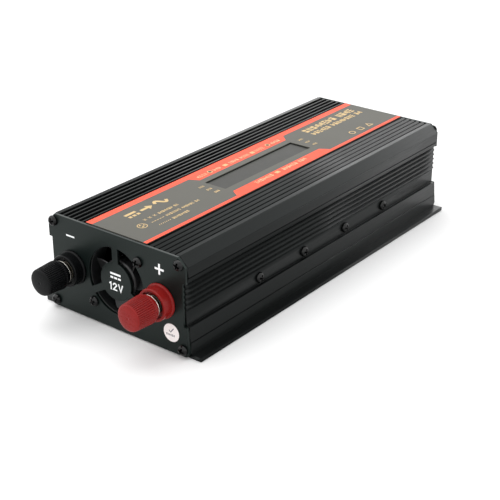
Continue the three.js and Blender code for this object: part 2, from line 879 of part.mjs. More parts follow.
// Board, power transistors with their clamp bars, transformers and capacitors.
function addInside() {
  const boardFront = frontFace + boardFrontClear;
  const boardRear = rearFace - boardRearClear;
  const board = rectangle(
    0,
    (boardFront + boardRear) / 2,
    2 * (boardSlotX - 2 * gap),
    boardRear - boardFront,
  );
  addPart("circuit_board", extrudeZ(board, boardTop - boardThick, boardTop), {
    color: 0x2a5a34,
    roughness: 0.5,
    metalness: 0,
  });

  const bodyTop = sideScrewHeight - clampBarHeight / 2 - gap;
  const bodyBase = boardTop + gap;
  const tabTop = sideScrewHeight + tabAboveScrew;
  for (const [side, sign] of [["left", -1], ["right", 1]]) {
    const spread = (from, to) => (sign > 0 ? [from, to] : [-to, -from]);
    const wall = insideX - gap;
    sideScrewPlaces.forEach((y, i) => {
      const tab = rectangle(y, (bodyBase + tabTop) / 2, transistorWidth, tabTop - bodyBase);
      const body = rectangle(y, (bodyBase + bodyTop) / 2, transistorWidth, bodyTop - bodyBase);
      const piece = joined(
        extrudeX(tab, ...spread(wall - tabThick, wall)),
        extrudeX(body, ...spread(wall - transistorBodyThick, wall)),
      );
      const hole = circle(y, sideScrewHeight, sideScrewRadius + holeGap, 12);
      addPart(
        `power_transistor_${side}_${i + 1}`,
        cut(piece, extrudeX(hole, ...spread(wall - tabThick - 1, wall + 1))),
        blackPlastic,
      );
    });
    const barLength = (sideScrewCount - 1) * sideScrewPitch + 2 * transistorWidth;
    const bar = extrudeX(
      rectangle(0, sideScrewHeight, barLength, clampBarHeight),
      ...spread(wall - tabThick - gap - clampBarThick, wall - tabThick - gap),
    );
    addPart(
      `clamp_bar_${side}`,
      cut(bar, ...sideScrewHoles(...spread(insideX - 10, insideX))),
      { color: 0xa9adb0, roughness: 0.4, metalness: 1 },
    );
  }

  const floor = boardTop + gap;
  const windingHeight = windingShare * coreHeight;
  const coil = turned(
    [
      [0, 0],
      [windingRadius, 0],
      [windingRadius, windingHeight],
      [0, windingHeight],
    ],
    20,
  )
    .rotateX(Math.PI / 2)
    .translate(0, 0, floor + (coreHeight - windingHeight) / 2);
  const core = extrudeZ(rectangle(0, 0, coreWidth, coreDepth), floor, floor + coreHeight);
  const capacitorY = frontFace + capacitorSetback;
  for (const i of [0, 1]) {
    const tape = { color: 0xc9a227, roughness: 0.5, metalness: 0 };
    const transformer = addPart(`transformer_${i + 1}`, joined(core, coil), tape);
    transformer.position.y = capacitorY + capacitorToTransformer + i * transformerPitch;
  }
  for (const [i, x] of [-capacitorRadius - 3, capacitorRadius + 3].entries()) {
    const can = turned(
      [
        [0, 0],
        [capacitorRadius, 0],
        [capacitorRadius, capacitorHeight - 0.8],
        [capacitorRadius - 0.8, capacitorHeight],
        [0, capacitorHeight],
      ],
      20,
    ).rotateX(Math.PI / 2);
    addPart(`capacitor_${i + 1}`, can, { color: 0x23315a, roughness: 0.4, metalness: 0.1 })
      .position.set(x, capacitorY, floor);
  }
}

addShells();
addFrontPanel();
addRearPanel();
addScrews();
addLabelAndDisplay();
addSticker();
addFan();
addPost("negative", -postOffset, blackPlastic);
addPost("positive", postOffset, redPlastic);
addOutlet();
addSwitch();
addUsbAndLamp();
addInside();

export default inverter;
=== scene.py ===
"""The looks of a power inverter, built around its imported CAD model, in metres."""
import random
from math import ceil, cos, pi, radians, sin, tau

import bmesh
import bpy
from mathutils import Matrix, Vector
from mathutils.bvhtree import BVHTree


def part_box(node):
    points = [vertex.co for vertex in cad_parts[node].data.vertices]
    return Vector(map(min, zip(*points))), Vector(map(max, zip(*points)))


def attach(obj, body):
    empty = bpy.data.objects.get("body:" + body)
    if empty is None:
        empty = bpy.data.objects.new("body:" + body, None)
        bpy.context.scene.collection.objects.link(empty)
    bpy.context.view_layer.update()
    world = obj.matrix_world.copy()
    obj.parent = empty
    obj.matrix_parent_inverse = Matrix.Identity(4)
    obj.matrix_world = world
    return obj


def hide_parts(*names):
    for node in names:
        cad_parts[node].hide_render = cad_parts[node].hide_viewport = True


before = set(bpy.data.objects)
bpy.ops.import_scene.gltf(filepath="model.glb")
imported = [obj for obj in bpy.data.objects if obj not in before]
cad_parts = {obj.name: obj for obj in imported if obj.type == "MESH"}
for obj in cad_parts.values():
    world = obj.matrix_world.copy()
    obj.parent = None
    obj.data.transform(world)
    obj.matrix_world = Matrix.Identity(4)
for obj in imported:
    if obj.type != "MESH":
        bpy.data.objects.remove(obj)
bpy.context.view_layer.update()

bl_info = {
    "name": "Power inverter",
    "version": (1, 0, 0),
    "blender": (4, 5, 0),
    "location": "3D View > Sidebar > Inverter",
    "description": "Builds a power inverter piece by piece around its CAD model",
    "category": "Add Mesh",
}

MM = 0.001
WELD = 1e-7  # corners nearer than this, in metres, are one
ALONG = 0.99  # an edge runs along an axis if this share of its length does


def linear(hex_colour):
    """An sRGB hex colour as linear red, green and blue."""
    shares = [int(hex_colour[i:i + 2], 16) / 255 for i in (1, 3, 5)]
    return tuple(c / 12.92 if c <= 0.04045 else ((c + 0.055) / 1.055) ** 2.4 for c in shares)


def colour_property(name, description, hex_colour):
    return bpy.props.FloatVectorProperty(
        name=name, description=description, default=linear(hex_colour),
        subtype="COLOR", size=3, min=0, max=1)


def length_property(name, description, millimetres):
    return bpy.props.FloatProperty(
        name=name, description=description, default=millimetres * MM, unit="LENGTH",
        min=0, precision=5)


class InverterSizes(bpy.types.PropertyGroup):
    """Sizes that the CAD model leaves open."""
    shell_edge: length_property("Extrusion edge", "Rounding of the extruded edges", 0.22)
    panel_edge: length_property("Panel edge", "Rounding of the stamped panels", 0.18)
    plastic_edge: length_property("Plastic edge", "Rounding of the moulded pieces", 0.3)
    ink: length_property("Ink", "Thickness of a printed layer", 0.03)
    flute_count: bpy.props.IntProperty(
        name="Flutes", description="Flutes round a battery knob", default=44, min=8)
    flute_depth: length_property("Flute depth", "Depth of a knob's flutes", 0.7)
    recess_width: length_property("Screw recess", "Width of a screw's cross recess", 1.05)
    blade_count: bpy.props.IntProperty(
        name="Fan blades", description="Blades on the fan's rotor", default=7, min=3)


class InverterColours(bpy.types.PropertyGroup):
    """Colours of the finishes."""
    anodised: colour_property("Anodised", "Black anodised aluminium", "#0A100F")
    extruded: colour_property("Extruded", "Black anodised extrusion", "#0B0D0D")
    film: colour_property("Label film", "Grey printed film", "#52514B")
    stripe: colour_property("Stripe", "Coral ink", "#EF553B")
    gold: colour_property("Gold ink", "Gold and cream print", "#C8AC7A")
    white: colour_property("White ink", "White print", "#F4F6F6")
    window: colour_property("Window", "Smoked window", "#2C2C28")
    black_nylon: colour_property("Black nylon", "Black post plastic", "#08090A")
    red_nylon: colour_property("Red nylon", "Red post plastic", "#801816")
    black_steel: colour_property("Black steel", "Black zinc on screws", "#070808")
    paper: colour_property("Paper", "Inspection sticker", "#F6EEEC")
    floor: colour_property("Floor", "Pale floor", "#F4F4F4")


# ---- Shader helpers ----

def add(tree, kind, inputs=None, **settings):
    """Adds a node. An input, by name or by place, is a value, a socket, a node for its first
    output, or a list of these."""
    node = tree.nodes.new(kind)
    for name, value in settings.items():
        setattr(node, name, value)
    for key, value in (inputs or {}).items():
        socket = node.inputs[key] if isinstance(key, int) else next(
            s for s in node.inputs if s.enabled and key in (s.name, s.identifier))
        for source in value if isinstance(value, list) else [value]:
            if isinstance(source, bpy.types.Node):
                source = next(s for s in source.outputs if s.enabled)
            if isinstance(source, bpy.types.NodeSocket):
                tree.links.new(source, socket)
            else:
                socket.default_value = source
    return node


def opaque(colour):
    return (*colour[:3], 1)


def finish_named(name, settings, build=None):
    """The material of that name, made once; build draws a pattern and returns its inputs."""
    material = bpy.data.materials.get(name)
    if material:
        return material
    material = bpy.data.materials.new(name)
    material.use_nodes = True
    tree = material.node_tree
    tree.nodes.clear()
    pattern = build(tree) if build else {}
    shader = add(tree, "ShaderNodeBsdfPrincipled", {**settings, **pattern})
    add(tree, "ShaderNodeOutputMaterial", {"Surface": shader})
    return material


def varied(tree, colour, period, share, stretch=(1, 1, 1)):
    """Soft patches, of the given size, of a lighter and a darker tint; and their place."""
    position = add(tree, "ShaderNodeTexCoord").outputs["Object"]
    place = add(tree, "ShaderNodeMapping", {"Vector": position, "Scale": stretch})
    patches = add(tree, "ShaderNodeTexNoise", {
        "Vector": place, "Scale": 1 / period, "Detail": 4, "Roughness": 0.6})
    tint = add(tree, "ShaderNodeValToRGB", {"Fac": patches.outputs["Fac"]})
    for stop, at, change in zip(tint.color_ramp.elements, (0.3, 0.7), (-share, share)):
        stop.position = at
        stop.color = opaque([c * (1 + change) for c in colour])
    return tint, place


def metal_or_plastic(name, colour, settings, period, share, grain, depth, low, high,
                     stretch=(1, 1, 1)):
    """A finish with soft patches of tint, and a fine grain that bumps the surface and
    changes its roughness from low to high; sizes in mm."""
    def build(tree):
        tint, place = varied(tree, colour[:3], period * MM, share, stretch)
        noise = add(tree, "ShaderNodeTexNoise", {
            "Vector": place, "Scale": 1 / (grain * MM), "Detail": 3, "Roughness": 0.7})
        bump = add(tree, "ShaderNodeBump", {
            "Height": noise.outputs["Fac"], "Distance": depth * MM})
        spread = add(tree, "ShaderNodeMapRange", {
            "Value": noise.outputs["Fac"], "From Min": 0.3, "From Max": 0.7,
            "To Min": low, "To Max": high})
        return {"Base Color": tint, "Normal": bump, "Roughness": spread}
    return finish_named(name, settings, build)


# Black anodised aluminium, blasted before dyeing: a dull glass-like oxide over near-black,
# with a fine sandy grain. The grain is drawn about twice as coarse as the real 0.15 mm.
def anodised_aluminium(colours):
    return metal_or_plastic(
        "Anodised aluminium, blasted", colours.anodised,
        {"IOR": 1.5, "Specular IOR Level": 0.2, "Specular Tint": opaque(linear("#ECFFF8"))},
        period=14, share=0.12, grain=0.32, depth=0.014, low=0.3, high=0.42)


# The same oxide on the extruded faces: fine die lines run along them, about 0.4 mm apart.
def anodised_extrusion(colours):
    return metal_or_plastic(
        "Anodised aluminium, extruded", colours.extruded,
        {"IOR": 1.5, "Specular IOR Level": 0.15, "Specular Tint": opaque(linear("#F8FFFD"))},
        period=0.9, share=0.16, grain=0.4, depth=0.01, low=0.28, high=0.4, stretch=(1, 0.03, 1))


# Screen-printed polycarbonate film, matt: an even mid grey with a barely seen texture.
def printed_film(colours):
    return metal_or_plastic(
        "Polycarbonate film, matt", colours.film, {"IOR": 1.58, "Specular IOR Level": 0.08},
        period=30, share=0.04, grain=0.35, depth=0.004, low=0.42, high=0.52)


# Screen ink: a flat opaque layer that is a little shinier than the film under it.
def screen_ink(name, colour):
    return metal_or_plastic(
        f"Screen ink, {name}", colour, {"IOR": 1.5, "Specular IOR Level": 0.09},
        period=5, share=0.05, grain=0.3, depth=0.003, low=0.38, high=0.48)


# Smoked acrylic with an anti-glare skin, over an unlit liquid crystal: a satin sheen on a
# greenish grey, and no bright mirror at a low angle.
def smoked_acrylic(colours):
    return metal_or_plastic(
        "Acrylic, smoked", colours.window, {"IOR": 1.49, "Specular IOR Level": 0.08},
        period=40, share=0.08, grain=6, depth=0.01, low=0.28, high=0.34)


# Moulded nylon: a soft gloss, faint flow marks and a slight orange-peel skin.
def moulded_nylon(name, colour, shine):
    return metal_or_plastic(
        f"Nylon, {name} moulded", colour, {"IOR": 1.53, "Specular IOR Level": shine},
        period=3, share=0.08, grain=0.7, depth=0.005, low=0.24, high=0.34)


# ABS with a spark-eroded texture: dark, matt, a pebbled skin of about 0.3 mm.
def textured_abs():
    return metal_or_plastic(
        "ABS, spark textured", linear("#17191A"), {"IOR": 1.53, "Specular IOR Level": 0.5},
        period=8, share=0.1, grain=0.3, depth=0.02, low=0.4, high=0.52)


# Glass-filled PBT of the fan: black and dull, with pale fibre specks.
def glass_filled_pbt():
    return metal_or_plastic(
        "PBT, glass filled", linear("#0E0F10"), {"IOR": 1.57, "Specular IOR Level": 0.4},
        period=0.5, share=0.35, grain=0.4, depth=0.02, low=0.42, high=0.58)


# Steel under black zinc: near-black with an oily gloss, in lighter and darker patches.
def black_zinc_steel(colours):
    return metal_or_plastic(
        "Steel, black zinc", colours.black_steel, {"IOR": 1.6, "Specular IOR Level": 0.16},
        period=1.2, share=0.3, grain=0.5, depth=0.006, low=0.16, high=0.26)


# Worked metal, turned or drawn: fine marks across its length give it a silky streak.
def turned_metal(name, hex_colour, low, high):
    return metal_or_plastic(
        name, linear(hex_colour), {"Metallic": 1.0}, period=0.5, share=0.08, grain=0.25,
        depth=0.006, low=low, high=high, stretch=(0.4, 2.5, 0.4))


def nickel_plate():
    return turned_metal("Brass, nickel plated", "#C9C6BE", 0.16, 0.3)


# Painted shade: the stud's nickel is darkened to a warm dark grey for the shade in the post's
# recess, and it glints only on the thread's crests.
def shade_darkened_nickel():
    return turned_metal("Brass, nickel plated and dulled", "#5E5950", 0.3, 0.45)


# ---- Shape helpers: a profile or outline is in mm, and a finished mesh in metres ----

def eased(points, steps=4):
    """A profile with its corners rounded. Each point is (a, b) or (a, b, ease)."""
    out = []
    for i, (a, b, *ease) in enumerate(points):
        if not ease or i in (0, len(points) - 1):
            out.append((a, b))
            continue
        corner = Vector((a, b))
        before = Vector(points[i - 1][:2]) - corner
        after = Vector(points[i + 1][:2]) - corner
        start = corner + before.normalized() * min(ease[0], before.length / 2)
        end = corner + after.normalized() * min(ease[0], after.length / 2)
        for step in range(steps + 1):
            t = step / steps
            at = start * (1 - t) ** 2 + corner * 2 * t * (1 - t) + end * t ** 2
            out.append((at.x, at.y))
    return out


def divided(points, longest):
    """A profile with its long stretches cut into even lengths."""
    out = [points[0]]
    for (a, b), (c, d) in zip(points, points[1:]):
        count = max(1, ceil(((c - a) ** 2 + (d - b) ** 2) ** 0.5 / longest))
        out += [(a + (c - a) * k / count, b + (d - b) * k / count) for k in range(1, count + 1)]
    return out


def turned(profile, segments):
    """A profile of (radius, y) turned about the Y axis. It ends on the axis, or closes."""
    shape = bmesh.new()
    loop = profile[0] == profile[-1]
    on_axis = 1e-6
    rings = []
    for radius, y in profile[:-1] if loop else profile:
        count = segments if radius > on_axis else 1
        rings.append([
            shape.verts.new(Vector((radius * cos(tau * i / segments), y,
                                    radius * sin(tau * i / segments))) * MM)
            for i in range(count)])
    for low, high in zip(rings, rings[1:] + (rings[:1] if loop else [])):
        for i in range(segments):
            around = ((low, i), (low, i + 1), (high, i + 1), (high, i))
            corners = list(dict.fromkeys(ring[k % len(ring)] for ring, k in around))
            if len(corners) > 2:
                shape.faces.new(corners)
    return shape


def sweep(shape, sections, closed=False):
    """Joins rings of points, all of one length, into one skin, with caps if it is open."""
    rings = [[shape.verts.new(Vector(p) * MM) for p in section] for section in sections]
    for low, high in zip(rings, rings[1:] + (rings[:1] if closed else [])):
        for i in range(len(low)):
            j = (i + 1) % len(low)
            shape.faces.new((low[i], low[j], high[j], high[i]))
    if not closed:
        shape.faces.new(rings[0][::-1])
        shape.faces.new(rings[-1])


def prism(shape, outline, put, layer):
    """A flat outline between a layer's two heights; put turns (u, v, h) into a place."""
    sweep(shape, [[put(u, v, h) for u, v in outline] for h in layer])


def stroke(shape, points, width, put, layer, closed=False):
    """A printed line of one width with mitred bends."""
    low, high = layer
    sections = []
    count = len(points)
    for i, (u, v) in enumerate(points):
        here = Vector((u, v))
        before = Vector(points[i - 1]) if closed or i else None
        after = Vector(points[(i + 1) % count]) if closed or i < count - 1 else None
        into = (here - before).normalized() if before else (after - here).normalized()
        out = (after - here).normalized() if after else into
        bisector = (into + out).normalized()
        across = Vector((-bisector.y, bisector.x)) * width / 2 / max(bisector.dot(into), 0.5)
        left, right = here + across, here - across
        sections.append([
            put(*left, low), put(*right, low), put(*right, high), put(*left, high)])
    sweep(shape, sections, closed)


def ring_points(radius, count=24, v=0):
    return [(radius * cos(tau * i / count), v + radius * sin(tau * i / count))
            for i in range(count)]


def oblong(left, right, low, high):
    return [(left, low), (right, low), (right, high), (left, high)]


def on_label(x, y):
    """Places on the label for a mark at (x, y) that reads towards the rear."""
    return lambda u, v, h: (x - v, y + u, h)


def on_front(x, z):
    """Places on the front panel, seen from in front of it."""
    return lambda u, v, h: (x + u, FRONT_FACE - h, z + v)


def placed_in_scene(name, data):
    thing = bpy.data.objects.new(name, data)
    bpy.context.scene.collection.objects.link(thing)
    return thing


def piece_of(name, shape, material, crease=35):
    """Makes a bmesh into a piece, smooth across bends under crease degrees."""
    mesh = bpy.data.meshes.new(name)
    bmesh.ops.recalc_face_normals(shape, faces=shape.faces)
    shape.to_mesh(mesh)
    shape.free()
    mesh.materials.append(material)
    mesh.shade_smooth()
    mesh.set_sharp_from_angle(angle=radians(crease))
    return placed_in_scene(name, mesh)


def settle(piece):
    """Replaces the piece's mesh with what its modifiers make of it."""
    graph = bpy.context.evaluated_depsgraph_get()
    mesh = bpy.data.meshes.new_from_object(piece.evaluated_get(graph))
    piece.modifiers.clear()
    piece.data = mesh
    mesh.name = piece.name
    return piece


def discard(piece):
    bpy.data.objects.remove(piece, do_unlink=True)


def fit(piece, body="case", slot=None, *nodes):
    """Puts a piece on its body and lets it stand for CAD nodes, which it hides; the slot is not
    used.
    """
    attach(piece, body)
    if nodes:
        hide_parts(*nodes)
    return piece


def seat_turned(piece, body, slot, node, beside=None):
    """Moves a piece that was turned about Y onto the axis of its CAD node, or of the one
    beside it, and fits it there."""
    x, z = cad_axis(beside or node)
    piece.data.transform(Matrix.Translation(Vector((x, 0, z)) * MM))
    fit(piece, body, slot, node)


def merged_copy(node):
    """The CAD node's mesh with its loose triangles joined and its flat faces made whole."""
    shape = bmesh.new()
    shape.from_mesh(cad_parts[node].data)
    bmesh.ops.remove_doubles(shape, verts=shape.verts, dist=WELD)
    bmesh.ops.dissolve_limit(
        shape, angle_limit=radians(1), verts=shape.verts, edges=shape.edges)
    return shape


def softened(name, node, width, material, slot, body="case", lengthwise=False):
    """Replaces a CAD node with its own shape, its sharp edges rounded; lengthwise rounds only
    those along Y."""
    shape = merged_copy(node)
    weight = shape.edges.layers.float.new("bevel_weight_edge")
    for edge in shape.edges:
        run = edge.verts[1].co - edge.verts[0].co
        along = abs(run.y) > ALONG * run.length
        sharp = edge.calc_face_angle(0) > radians(40)
        edge[weight] = float(sharp and (along or not lengthwise))
    piece = piece_of(name, shape, material, crease=180)
    rounding = piece.modifiers.new("Rounding", "BEVEL")
    rounding.limit_method = "WEIGHT"
    rounding.width = width
    rounding.segments = 2
    rounding.use_clamp_overlap = False
    level = piece.modifiers.new("Level", "WEIGHTED_NORMAL")
    level.keep_sharp = True
    return fit(settle(piece), body, slot, node)


# ---- Geometry Nodes helpers ----

def node_group(name, inputs):
    """A geometry tree with named inputs of (socket type, default) beside its geometry and
    material, and its entry's sockets."""
    tree = bpy.data.node_groups.new(name, "GeometryNodeTree")
    tree.is_modifier = True
    rows = {"Geometry": ("Geometry", None), **inputs, "Material": ("Material", None)}
    for label, (kind, default) in rows.items():
        item = tree.interface.new_socket(
            label, in_out="INPUT", socket_type=f"NodeSocket{kind}")
        if default is not None:
            item.default_value = default
    tree.interface.new_socket("Geometry", in_out="OUTPUT", socket_type="NodeSocketGeometry")
    return tree, add(tree, "NodeGroupInput").outputs


def close_group(tree, given, geometry):
    """Ends a tree: instances made real, then the material."""
    real = add(tree, "GeometryNodeRealizeInstances", {"Geometry": geometry})
    dressed = add(tree, "GeometryNodeSetMaterial", {
        "Geometry": real, "Material": given["Material"]})
    add(tree, "NodeGroupOutput", {"Geometry": dressed})
    return tree


def grown(piece, tree, values):
    """Runs a geometry tree on a piece with the given inputs and keeps the result."""
    modifier = piece.modifiers.new(tree.name, "NODES")
    modifier.node_group = tree
    for item in tree.interface.items_tree:
        if item.in_out == "INPUT" and item.name in values:
            modifier[item.identifier] = values[item.name]
    return settle(piece)


def cloud(name, places, attributes):
    """A mesh of loose points in mm, with attributes of (type, values)."""
    mesh = bpy.data.meshes.new(name)
    mesh.from_pydata([Vector(p) * MM for p in places], [], [])
    for label, (kind, values) in attributes.items():
        layer = mesh.attributes.new(label, kind, "POINT")
        for item, value in zip(layer.data, values):
            if kind == "FLOAT_VECTOR":
                item.vector = value
            else:
                item.value = value
    return placed_in_scene(name, mesh)


def screw_tree():
    """Screws on points: each points along its "inward" attribute and has its own turn."""
    tree, given = node_group("Machine screws", {
        "Screw": ("Object", None),
        "Seed": ("Int", 4),
    })
    screw = add(tree, "GeometryNodeObjectInfo", {"Object": given["Screw"], "As Instance": True})
    inward = add(tree, "GeometryNodeInputNamedAttribute", {"Name": "inward"},
                 data_type="FLOAT_VECTOR")
    aimed = add(tree, "FunctionNodeAlignRotationToVector", {"Vector": inward}, axis="Y")
    turn = add(tree, "FunctionNodeRandomValue", {
        "Min": 0.0, "Max": pi / 2, "Seed": given["Seed"]}, data_type="FLOAT")
    spin = add(tree, "FunctionNodeAxisAngleToRotation", {"Axis": (0, 1, 0), "Angle": turn})
    driven = add(tree, "FunctionNodeRotateRotation", {"Rotation": aimed, "Rotate By": spin},
                 rotation_space="LOCAL")
    placed = add(tree, "GeometryNodeInstanceOnPoints", {
        "Points": given["Geometry"], "Instance": screw.outputs["Geometry"],
        "Rotation": driven})
    return close_group(tree, given, placed)


def flute_tree():
    """Sinks even flutes into a turned knob, fading out towards both ends of a band."""
    tree, given = node_group("Knob flutes", {
        "Flutes": ("Int", 44),
        "Depth": ("Float", 0.7 * MM),
        "From": ("Float", 0.0),
        "To": ("Float", 0.01),
        "Fade": ("Float", 0.6 * MM),
        "Core": ("Float", 5 * MM),
    })
    where = add(tree, "GeometryNodeInputPosition")
    split = add(tree, "ShaderNodeSeparateXYZ", {"Vector": where})
    values = {socket.name: socket for socket in (*given, *split.outputs)}
    # Each row is a result, its operation and its terms. A flute's hollow is |sin| of half the
    # turn, which leaves a rounded rib between sharp grooves.
    for result, operation, *terms in (
            ("angle", "ARCTAN2", "Z", "X"),
            ("turns", "MULTIPLY", "angle", "Flutes"),
            ("half turns", "MULTIPLY", "turns", 0.5),
            ("wave", "SINE", "half turns"),
            ("rib", "ABSOLUTE", "wave"),
            ("hollow", "SUBTRACT", 1.0, "rib"),
            ("past start", "SUBTRACT", "Y", "From"),
            ("before end", "SUBTRACT", "To", "Y"),
            ("near", "DIVIDE", "past start", "Fade"),
            ("far", "DIVIDE", "before end", "Fade"),
            ("both", "MULTIPLY", "near", "far"),
            ("back", "MULTIPLY", "X", -1.0),
            ("down", "MULTIPLY", "Z", -1.0),
            ("x squared", "MULTIPLY", "X", "X"),
            ("z squared", "MULTIPLY", "Z", "Z"),
            ("squares", "ADD", "x squared", "z squared"),
            ("radius", "SQRT", "squares"),
            ("outside", "GREATER_THAN", "radius", "Core"),
            ("band", "MULTIPLY", "both", "outside"),
            ("share", "MULTIPLY", "hollow", "band"),
            ("sunk", "MULTIPLY", "share", "Depth")):
        inputs = {place: values.get(term, term) for place, term in enumerate(terms)}
        node = add(tree, "ShaderNodeMath", inputs, operation=operation,
                   use_clamp=operation == "DIVIDE")
        values[result] = node
    inward = add(tree, "ShaderNodeCombineXYZ", {"X": values["back"], "Z": values["down"]})
    unit = add(tree, "ShaderNodeVectorMath", {0: inward}, operation="NORMALIZE")
    offset = add(tree, "ShaderNodeVectorMath", {
        0: unit, "Scale": values["sunk"]}, operation="SCALE")
    cut = add(tree, "GeometryNodeSetPosition", {
        "Geometry": given["Geometry"], "Offset": offset})
    return close_group(tree, given, cut)


def blade_tree():
    """Fan blades set evenly round the Y axis, joined with the hub that the tree is put on."""
    tree, given = node_group("Fan blades", {
        "Blade": ("Object", None),
        "Blades": ("Int", 7),
    })
    blade = add(tree, "GeometryNodeObjectInfo", {"Object": given["Blade"], "As Instance": True})
    points = add(tree, "GeometryNodePoints", {"Count": given["Blades"]})
    index = add(tree, "GeometryNodeInputIndex")
    share = add(tree, "ShaderNodeMath", {0: index, 1: given["Blades"]},
                operation="DIVIDE")
    angle = add(tree, "ShaderNodeMath", {0: share, 1: tau}, operation="MULTIPLY")
    turn = add(tree, "FunctionNodeAxisAngleToRotation", {"Axis": (0, 1, 0), "Angle": angle})
    placed = add(tree, "GeometryNodeInstanceOnPoints", {
        "Points": points, "Instance": blade.outputs["Geometry"],
        "Rotation": turn})
    both = add(tree, "GeometryNodeJoinGeometry", {"Geometry": [given["Geometry"], placed]})
    return close_group(tree, given, both)


# Plain marks that stand in for small print, and spell nothing: bars of (centre across, centre
# up, width, height) in a unit em. A width or height of 0 is one stroke.
MARKS = (
    ((-0.2, 0, 0, 1), (0.2, 0, 0, 1)),
    ((0, 0.42, 0.62, 0), (0, 0, 0.62, 0), (0, -0.42, 0.62, 0)),
    ((0, 0.28, 0.56, 0.43), (0, -0.28, 0.56, 0.43)),
    ((-0.22, 0, 0, 1), (0.14, 0, 0.3, 0.6)),
    ((0.22, 0, 0, 1), (-0.14, 0, 0.3, 0.6)),
    ((0, 0.42, 0.6, 0), (0, -0.16, 0.6, 0.66)),
)


def print_tree():
    """A plain mark picked at random on each point, as tall as its "tall" attribute says."""
    tree, given = node_group("Small print", {
        "Seed": ("Int", 11),
        "Turn": ("Vector", (0.0, 0.0, 0.0)),
        "Weight": ("Float", 0.16),
        "Thickness": ("Float", 0.03 * MM),
    })
    glyphs = []
    for mark in MARKS:
        bars = []
        for across, up, width, height in mark:
            size = add(tree, "ShaderNodeVectorMath", {
                0: given["Weight"], 1: (width == 0, height == 0, 0), 2: (width, height, 1)},
                operation="MULTIPLY_ADD")
            bar = add(tree, "GeometryNodeMeshCube", {"Size": size})
            moved = add(tree, "GeometryNodeTransform", {
                "Geometry": bar, "Translation": (across, up, 0.5)})
            bars.append(moved)
        whole = add(tree, "GeometryNodeJoinGeometry", {"Geometry": bars})
        glyphs.append(add(tree, "GeometryNodeGeometryToInstance", {"Geometry": whole}))
    chosen = add(tree, "FunctionNodeRandomValue", {
        "Min": 0, "Max": len(MARKS) - 1, "Seed": given["Seed"]}, data_type="INT")
    every = add(tree, "GeometryNodeJoinGeometry", {"Geometry": glyphs})
    tall = add(tree, "GeometryNodeInputNamedAttribute", {"Name": "tall"}, data_type="FLOAT")
    size = add(tree, "ShaderNodeCombineXYZ", {"X": tall, "Y": tall, "Z": given["Thickness"]})
    placed = add(tree, "GeometryNodeInstanceOnPoints", {
        "Points": given["Geometry"], "Instance": every, "Pick Instance": True,
        "Instance Index": chosen, "Rotation": given["Turn"],
        "Scale": size})
    return close_group(tree, given, placed)


# ---- Places read from the CAD model, in mm ----

def cad_box(node):
    """The node's lowest and highest corners in mm."""
    low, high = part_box(node)
    return Vector(low) / MM, Vector(high) / MM


def cad_axis(node):
    """Where a node that is turned about Y has its axis: across and up, in mm."""
    low, high = cad_box(node)
    return (low.x + high.x) / 2, (low.z + high.z) / 2


FRONT_FACE = cad_box("front_panel")[0].y
LABEL_LOW, LABEL_HIGH = cad_box("label_panel")
# The film is a little lower than the CAD label, so that the inks on it stay inside its height.
FILM_TOP = LABEL_HIGH.z - 0.045
STRIPE_TOP = FILM_TOP + 0.015
PRINT_TOP = LABEL_HIGH.z - 0.01
STRIPE_INK = (FILM_TOP, STRIPE_TOP)
FILM_PRINT = (FILM_TOP, PRINT_TOP)
STRIPE_PRINT = (STRIPE_TOP, PRINT_TOP)
SCREW_HEAD = 1.9  # height of a pan head


class PieceOperator(bpy.types.Operator):
    """Adds a part of the inverter."""
    bl_options = {"REGISTER", "UNDO"}

    def execute(self, context):
        self.make(context.scene.inverter_sizes, context.scene.inverter_colours)
        return {"FINISHED"}


class INVERTER_OT_case(PieceOperator):
    """Adds the two extrusions of the case with their edges eased"""
    bl_idname = "inverter.case"
    bl_label = "Case shells"

    def make(self, sizes, colours):
        metal = anodised_extrusion(colours)
        for name, node in (("lower_extrusion", "bottom_case"), ("ribbed_cover", "top_cover")):
            softened(name, node, sizes.shell_edge, metal, "case_aluminium", lengthwise=True)


class INVERTER_OT_end_panels(PieceOperator):
    """Adds the stamped end panels"""
    bl_idname = "inverter.end_panels"
    bl_label = "End panels"

    def make(self, sizes, colours):
        metal = anodised_aluminium(colours)
        for name, node in (("front_end_plate", "front_panel"), ("rear_end_plate", "rear_panel")):
            softened(name, node, sizes.panel_edge, metal, "panel_aluminium")


def print_lines(name, lines, height, turn, seed, weight, material, put):
    """A line of print marks for each (start, end, level, size), with a gap after a few."""
    before, after, advance, gap = 0.35, 0.3, 0.84, 0.6  # shares of a mark's size
    dice = random.Random(seed)
    places = []
    tall = []
    for start, end, level, size in lines:
        at = start + size * before
        until_gap = dice.randint(4, 8)
        while at < end - size * after:
            places.append(put(at, level, height))
            tall.append(size * MM)
            until_gap -= 1
            if until_gap == 0:
                at += size * gap
                until_gap = dice.randint(3, 8)
            at += size * advance
    points = cloud(name, places, {"tall": ("FLOAT", tall)})
    marks = grown(points, print_tree(), {
        "Seed": seed, "Turn": turn, "Weight": weight, "Material": material,
        "Thickness": bpy.context.scene.inverter_sizes.ink})
    fit(marks)


